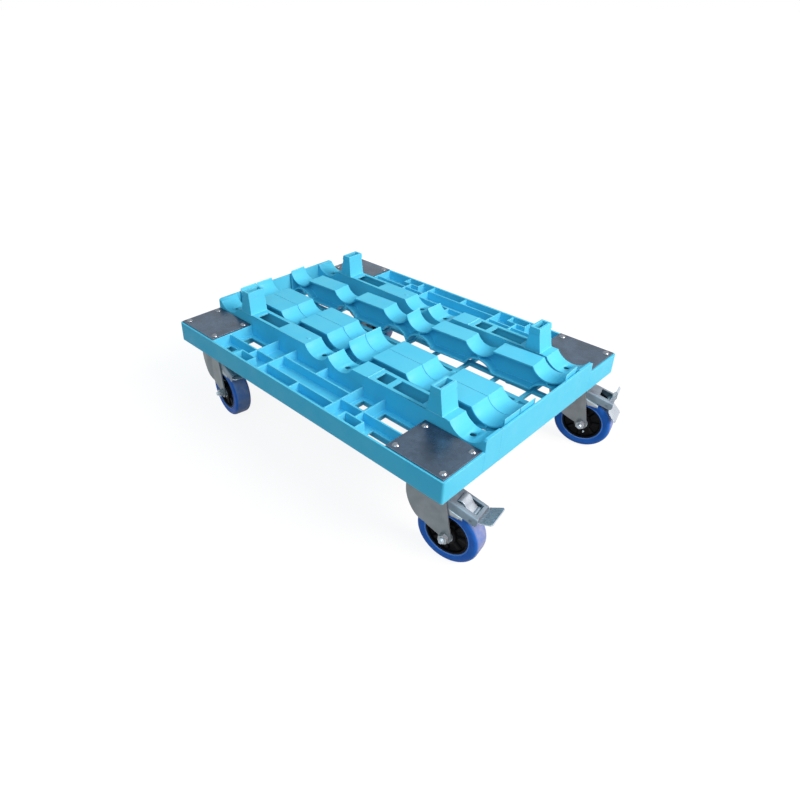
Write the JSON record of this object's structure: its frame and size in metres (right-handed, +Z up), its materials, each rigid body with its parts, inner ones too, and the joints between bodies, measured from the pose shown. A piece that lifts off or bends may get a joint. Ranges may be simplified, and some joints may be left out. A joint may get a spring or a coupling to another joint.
{
  "type": "truss dolly",
  "caption": "Low moulded dolly on braked swivel casters, with troughs and loose spacer strips that carry truss chords crosswise.",
  "frame": {"origin": "on the floor, under the centre of the deck", "axes": "+X along the deck, +Y across it, +Z up"},
  "size_m": [0.8675, 0.6, 0.3005],
  "materials": {
    "deck_blue": "satin moulded",
    "galvanised": "dull galvanised",
    "zinc": "satin zinc plated",
    "bright_zinc": "bright zinc plated",
    "bearing_steel": "ground",
    "hub_black": "moulded",
    "tyre_blue": "elastic rubber"
  },
  "bodies": {
    "deck": {"deck_tray_left": "deck_blue", "deck_tray_right": "deck_blue", "deck_rail_left": "deck_blue", "deck_rail_right": "deck_blue", "deck_bar_floor": "deck_blue", "corner_plate_front": "galvanised", "corner_plate_right": "galvanised", "corner_plate_left": "galvanised", "corner_plate_back": "galvanised", "plate_bolts": "bright_zinc", "plate_nuts": "bright_zinc", "caster_plates": "zinc", "king_pins": "zinc"},
    "strip_left": {"spacer_strip_left": "deck_blue"},
    "strip_middle": {"spacer_strip_middle": "deck_blue"},
    "strip_right": {"spacer_strip_right": "deck_blue"},
    "fork_front": {"fork_front": "zinc", "axle_bolt_front": "bright_zinc", "axle_nut_front": "bright_zinc", "axle_sleeve_front": "bright_zinc", "brake_housing_front": "bright_zinc", "brake_pins_front": "bright_zinc"},
    "wheel_front": {"wheel_hub_front": "hub_black", "wheel_tyre_front": "tyre_blue", "wheel_bearing_front": "bearing_steel"},
    "pedal_front": {"brake_pedal_front": "bright_zinc"},
    "shoe_front": {"brake_shoe_front": "bright_zinc"},
    "fork_right": {"fork_right": "zinc", "axle_bolt_right": "bright_zinc", "axle_nut_right": "bright_zinc", "axle_sleeve_right": "bright_zinc", "brake_housing_right": "bright_zinc", "brake_pins_right": "bright_zinc"},
    "wheel_right": {"wheel_hub_right": "hub_black", "wheel_tyre_right": "tyre_blue", "wheel_bearing_right": "bearing_steel"},
    "pedal_right": {"brake_pedal_right": "bright_zinc"},
    "shoe_right": {"brake_shoe_right": "bright_zinc"},
    "fork_left": {"fork_left": "zinc", "axle_bolt_left": "bright_zinc", "axle_nut_left": "bright_zinc", "axle_sleeve_left": "bright_zinc", "brake_housing_left": "bright_zinc", "brake_pins_left": "bright_zinc"},
    "wheel_left": {"wheel_hub_left": "hub_black", "wheel_tyre_left": "tyre_blue", "wheel_bearing_left": "bearing_steel"},
    "pedal_left": {"brake_pedal_left": "bright_zinc"},
    "shoe_left": {"brake_shoe_left": "bright_zinc"},
    "fork_back": {"fork_back": "zinc", "axle_bolt_back": "bright_zinc", "axle_nut_back": "bright_zinc", "axle_sleeve_back": "bright_zinc", "brake_housing_back": "bright_zinc", "brake_pins_back": "bright_zinc"},
    "wheel_back": {"wheel_hub_back": "hub_black", "wheel_tyre_back": "tyre_blue", "wheel_bearing_back": "bearing_steel"},
    "pedal_back": {"brake_pedal_back": "bright_zinc"},
    "shoe_back": {"brake_shoe_back": "bright_zinc"}
  },
  "joints": [
    {"name": "strip_left_lift", "type": "slide", "parent": "deck", "child": "strip_left", "axis": [0, 0, 1], "range_m": [0, 0.12]},
    {"name": "strip_middle_lift", "type": "slide", "parent": "deck", "child": "strip_middle", "axis": [0, 0, 1], "range_m": [0, 0.12]},
    {"name": "strip_right_lift", "type": "slide", "parent": "deck", "child": "strip_right", "axis": [0, 0, 1], "range_m": [0, 0.12]},
    {"name": "swivel_front", "type": "hinge", "parent": "deck", "child": "fork_front", "pos_m": [0.332, -0.2425, 0.1599], "axis": [0, 0, 1], "continuous": true},
    {"name": "roll_front", "type": "hinge", "parent": "fork_front", "child": "wheel_front", "pos_m": [0.38038, -0.23475, 0.0625], "axis": [-0.1582, 0.9874, 0], "continuous": true},
    {"name": "brake_front", "type": "hinge", "parent": "fork_front", "child": "pedal_front", "pos_m": [0.42284, -0.22795, 0.12494], "axis": [-0.1582, 0.9874, 0], "range_deg": [0, 74]},
    {"name": "shoe_front_tip", "type": "hinge", "parent": "fork_front", "child": "shoe_front", "pos_m": [0.36162, -0.23775, 0.14227], "axis": [-0.1582, 0.9874, 0], "range_deg": [0, 3.2]},
    {"name": "swivel_right", "type": "hinge", "parent": "deck", "child": "fork_right", "pos_m": [0.332, 0.2425, 0.1599], "axis": [0, 0, 1], "continuous": true},
    {"name": "roll_right", "type": "hinge", "parent": "fork_right", "child": "wheel_right", "pos_m": [0.37961, 0.25411, 0.0625], "axis": [-0.2368, 0.9715, 0], "continuous": true},
    {"name": "brake_right", "type": "hinge", "parent": "fork_right", "child": "pedal_right", "pos_m": [0.42138, 0.26429, 0.12494], "axis": [-0.2368, 0.9715, 0], "range_deg": [-74, 0]},
    {"name": "shoe_right_tip", "type": "hinge", "parent": "fork_right", "child": "shoe_right", "pos_m": [0.36115, 0.2496, 0.14227], "axis": [-0.2368, 0.9715, 0], "range_deg": [-3.2, 0]},
    {"name": "swivel_left", "type": "hinge", "parent": "deck", "child": "fork_left", "pos_m": [-0.332, -0.2425, 0.1599], "axis": [0, 0, 1], "continuous": true},
    {"name": "roll_left", "type": "hinge", "parent": "fork_left", "child": "wheel_left", "pos_m": [-0.28349, -0.2494, 0.0625], "axis": [0.1409, 0.99, 0], "continuous": true},
    {"name": "brake_left", "type": "hinge", "parent": "fork_left", "child": "pedal_left", "pos_m": [-0.24092, -0.25546, 0.12494], "axis": [0.1409, 0.99, 0], "range_deg": [0, 74]},
    {"name": "shoe_left_tip", "type": "hinge", "parent": "fork_left", "child": "shoe_left", "pos_m": [-0.3023, -0.24673, 0.14227], "axis": [0.1409, 0.99, 0], "range_deg": [0, 3.2]},
    {"name": "swivel_back", "type": "hinge", "parent": "deck", "child": "fork_back", "pos_m": [-0.332, 0.2425, 0.1599], "axis": [0, 0, 1], "continuous": true},
    {"name": "roll_back", "type": "hinge", "parent": "fork_back", "child": "wheel_back", "pos_m": [-0.28327, 0.24762, 0.0625], "axis": [-0.1045, 0.9945, 0], "continuous": true},
    {"name": "brake_back", "type": "hinge", "parent": "fork_back", "child": "pedal_back", "pos_m": [-0.2405, 0.25212, 0.12494], "axis": [-0.1045, 0.9945, 0], "range_deg": [0, 74]},
    {"name": "shoe_back_tip", "type": "hinge", "parent": "fork_back", "child": "shoe_back", "pos_m": [-0.30216, 0.24564, 0.14227], "axis": [-0.1045, 0.9945, 0], "range_deg": [0, 3.2]}
  ],
  "couplings": [
    {"joint": "shoe_front_tip", "follows": "brake_front", "ratio": 0.043243},
    {"joint": "shoe_right_tip", "follows": "brake_right", "ratio": 0.043243},
    {"joint": "shoe_left_tip", "follows": "brake_left", "ratio": 0.043243},
    {"joint": "shoe_back_tip", "follows": "brake_back", "ratio": 0.043243}
  ]
}
